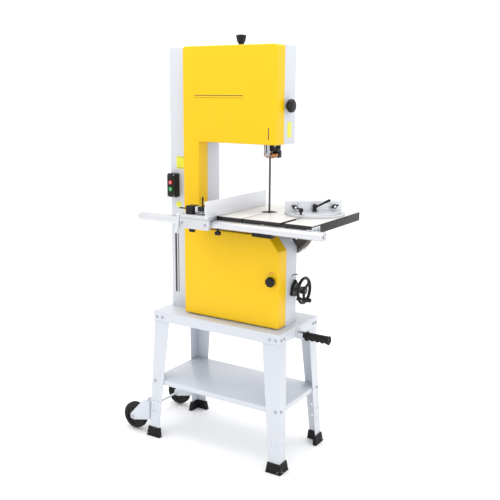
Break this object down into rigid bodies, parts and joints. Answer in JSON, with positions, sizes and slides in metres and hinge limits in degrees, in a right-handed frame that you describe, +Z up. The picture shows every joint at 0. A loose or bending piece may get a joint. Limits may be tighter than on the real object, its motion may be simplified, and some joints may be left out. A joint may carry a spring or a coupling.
{
  "type": "band saw",
  "caption": "Floor-standing two-wheel woodworking band saw with hinged doors, tilting slotted table, rip fence on a rail, mitre gauge and a sheet-steel stand with transport wheels.",
  "frame": {"origin": "centre of the footprint box, on the floor", "axes": "+X to the operator's right, +Y to the back, +Z up; the doors face -Y"},
  "size_m": [1.019, 0.525, 1.715],
  "materials": {
    "frame_paint": "satin powder coat",
    "door_paint": "gloss powder coat",
    "black_plastic": "fine grained",
    "machined_steel": "turned and ground",
    "cast_wheel": "cast, turned rim",
    "tyre_rubber": "matte",
    "spring_steel": "dark",
    "blade_steel": "oiled band",
    "table_iron": "machined top, dark painted rim",
    "grey_iron": "painted grey casting",
    "rail_aluminium": "anodised satin",
    "motor_paint": "satin",
    "bronze": "turned",
    "insert_plastic": "matte",
    "red_plastic": "gloss",
    "green_plastic": "gloss",
    "foot_rubber": "matte",
    "zinc": "zinc plated"
  },
  "bodies": {
    "frame": {"column": "frame_paint", "upper_housing": "frame_paint", "neck": "frame_paint", "lower_housing": "frame_paint", "hinge_pins": "zinc", "frame_brackets": "grey_iron", "lower_axle": "machined_steel", "drive_belt": "tyre_rubber", "lock_ring": "black_plastic", "saw_blade": "blade_steel", "lower_guide": "grey_iron", "trunnion_base": "grey_iron", "switch_box": "black_plastic", "dust_port": "black_plastic", "stand_top": "frame_paint", "stand_legs": "frame_paint", "shelf": "frame_paint", "rubber_feet": "foot_rubber", "stand_bolts": "zinc", "wheel_brackets": "frame_paint", "lift_bracket": "frame_paint"},
    "upper_door": {"upper_door": "door_paint"},
    "lower_door": {"lower_door": "door_paint"},
    "door_latch": {"door_latch": "black_plastic"},
    "carrier": {"wheel_carrier": "grey_iron", "tension_spring": "spring_steel"},
    "tension_knob": {"tension_knob": "black_plastic"},
    "upper_wheel": {"upper_wheel": "cast_wheel", "upper_tyre": "tyre_rubber"},
    "lower_wheel": {"lower_wheel": "cast_wheel", "lower_tyre": "tyre_rubber"},
    "motor": {"motor": "motor_paint"},
    "motor_pulley": {"motor_pulley": "machined_steel"},
    "belt_handwheel": {"belt_handwheel": "black_plastic"},
    "crank_grip": {"crank_grip": "black_plastic"},
    "guide": {"guide_post": "machined_steel", "guide_block": "black_plastic", "blade_guard": "machined_steel"},
    "guide_knob": {"guide_knob": "black_plastic"},
    "roller_left": {"upper_roller_left": "bronze"},
    "roller_right": {"upper_roller_right": "bronze"},
    "roller_back": {"upper_roller_back": "bronze"},
    "table": {"table_top": "table_iron", "table_insert": "insert_plastic", "table_trunnions": "grey_iron", "guide_rail": "rail_aluminium", "rail_fittings": "rail_aluminium"},
    "tilt_lock": {"tilt_lock": "black_plastic"},
    "fence": {"fence_head": "rail_aluminium", "fence_plate": "rail_aluminium"},
    "fence_lever": {"fence_lever": "frame_paint"},
    "mitre_bar": {"mitre_bar": "machined_steel"},
    "mitre_head": {"mitre_body": "rail_aluminium", "mitre_fence": "rail_aluminium"},
    "mitre_handle": {"mitre_handle": "black_plastic"},
    "stop_button": {"stop_button": "red_plastic"},
    "start_button": {"start_button": "green_plastic"},
    "front_wheel": {"front_wheel": "foot_rubber"},
    "rear_wheel": {"rear_wheel": "foot_rubber"},
    "lift_handle": {"lift_handle": "foot_rubber"}
  },
  "joints": [
    {"name": "upper_door_swing", "type": "hinge", "parent": "frame", "child": "upper_door", "pos_m": [-0.2065, -0.022, 1.33], "axis": [0, 0, 1], "range_deg": [-90, 0]},
    {"name": "lower_door_swing", "type": "hinge", "parent": "frame", "child": "lower_door", "pos_m": [-0.2065, -0.022, 0.76], "axis": [0, 0, 1], "range_deg": [-90, 0]},
    {"name": "latch_turn", "type": "hinge", "parent": "lower_door", "child": "door_latch", "pos_m": [0.2255, -0.0775, 0.77], "axis": [0, 1, 0], "range_deg": [0, 90]},
    {"name": "carrier_slide", "type": "slide", "parent": "frame", "child": "carrier", "axis": [0, 0, 1], "range_m": [-0.012, 0], "deforming": ["tension_spring"]},
    {"name": "tension_turn", "type": "hinge", "parent": "frame", "child": "tension_knob", "pos_m": [-0.007, 0.0545, 1.69], "axis": [0, 0, 1], "range_deg": [0, 1080]},
    {"name": "upper_wheel_spin", "type": "hinge", "parent": "carrier", "child": "upper_wheel", "pos_m": [-0.007, 0.0225, 1.478], "axis": [0, 1, 0], "continuous": true},
    {"name": "lower_wheel_spin", "type": "hinge", "parent": "frame", "child": "lower_wheel", "pos_m": [-0.007, 0.0225, 0.758], "axis": [0, 1, 0], "continuous": true},
    {"name": "motor_slide", "type": "slide", "parent": "frame", "child": "motor", "axis": [1, 0, 0], "range_m": [0, 0.01], "deforming": ["drive_belt"]},
    {"name": "motor_spin", "type": "hinge", "parent": "motor", "child": "motor_pulley", "pos_m": [-0.102, 0.0475, 0.668], "axis": [0, 1, 0], "continuous": true},
    {"name": "belt_wheel_turn", "type": "hinge", "parent": "frame", "child": "belt_handwheel", "pos_m": [0.3005, 0.0505, 0.717], "axis": [1, 0, 0], "range_deg": [0, 900]},
    {"name": "crank_spin", "type": "hinge", "parent": "belt_handwheel", "child": "crank_grip", "pos_m": [0.3255, 0.00591, 0.69329], "axis": [1, 0, 0], "continuous": true},
    {"name": "guide_slide", "type": "slide", "parent": "frame", "child": "guide", "axis": [0, 0, 1], "range_m": [-0.195, 0]},
    {"name": "guide_turn", "type": "hinge", "parent": "frame", "child": "guide_knob", "pos_m": [0.2505, 0.0024, 1.443], "axis": [1, 0, 0], "range_deg": [-828, 0]},
    {"name": "roller_left_spin", "type": "hinge", "parent": "guide", "child": "roller_left", "pos_m": [0.1395, 0.0225, 1.25], "axis": [0, 1, 0], "continuous": true},
    {"name": "roller_right_spin", "type": "hinge", "parent": "guide", "child": "roller_right", "pos_m": [0.1628, 0.0225, 1.25], "axis": [0, 1, 0], "continuous": true},
    {"name": "roller_back_spin", "type": "hinge", "parent": "guide", "child": "roller_back", "pos_m": [0.151, 0.0418, 1.25], "axis": [1, 0, 0], "continuous": true},
    {"name": "table_tilt", "type": "hinge", "parent": "frame", "child": "table", "pos_m": [0.1505, 0.0225, 1.025], "axis": [0, 1, 0], "range_deg": [0, 45]},
    {"name": "tilt_lock_turn", "type": "hinge", "parent": "frame", "child": "tilt_lock", "pos_m": [0.21576, 0.1025, 0.90227], "axis": [0, 1, 0], "range_deg": [-40, 40]},
    {"name": "fence_slide", "type": "slide", "parent": "table", "child": "fence", "axis": [-1, 0, 0], "range_m": [-0.078, 0.06]},
    {"name": "fence_lever_lift", "type": "hinge", "parent": "fence", "child": "fence_lever", "pos_m": [-0.1075, -0.2295, 1.019], "axis": [-1, 0, 0], "range_deg": [0, 70]},
    {"name": "mitre_slide", "type": "slide", "parent": "table", "child": "mitre_bar", "axis": [0, 1, 0], "range_m": [-0.11, 0.02]},
    {"name": "mitre_turn", "type": "hinge", "parent": "mitre_bar", "child": "mitre_head", "pos_m": [0.3245, 0.0795, 1.03], "axis": [0, 0, 1], "range_deg": [-88, 2]},
    {"name": "mitre_handle_turn", "type": "hinge", "parent": "mitre_head", "child": "mitre_handle", "pos_m": [0.3245, 0.0795, 1.05], "axis": [0, 0, 1], "range_deg": [-60, 20]},
    {"name": "stop_press", "type": "slide", "parent": "frame", "child": "stop_button", "axis": [0, 1, 0], "range_m": [0, 0.003], "stiffness_N_per_m": 600, "springref_m": -0.002},
    {"name": "start_press", "type": "slide", "parent": "frame", "child": "start_button", "axis": [0, 1, 0], "range_m": [0, 0.003], "stiffness_N_per_m": 600, "springref_m": -0.002},
    {"name": "front_wheel_spin", "type": "hinge", "parent": "frame", "child": "front_wheel", "pos_m": [-0.4495, -0.1175, 0.066], "axis": [0, 1, 0], "continuous": true},
    {"name": "rear_wheel_spin", "type": "hinge", "parent": "frame", "child": "rear_wheel", "pos_m": [-0.4495, 0.1925, 0.066], "axis": [0, 1, 0], "continuous": true},
    {"name": "lift_handle_fold", "type": "hinge", "parent": "frame", "child": "lift_handle", "pos_m": [0.3085, 0.0285, 0.537], "axis": [0, 1, 0], "range_deg": [0, 90]}
  ],
  "couplings": [
    {"joint": "tension_turn", "follows": "carrier_slide", "rad_per_m": -1570.8},
    {"joint": "upper_wheel_spin", "follows": "lower_wheel_spin", "ratio": 1},
    {"joint": "motor_spin", "follows": "lower_wheel_spin", "ratio": 2.75},
    {"joint": "belt_wheel_turn", "follows": "motor_slide", "rad_per_m": 1570.8},
    {"joint": "guide_turn", "follows": "guide_slide", "rad_per_m": 74.074}
  ]
}
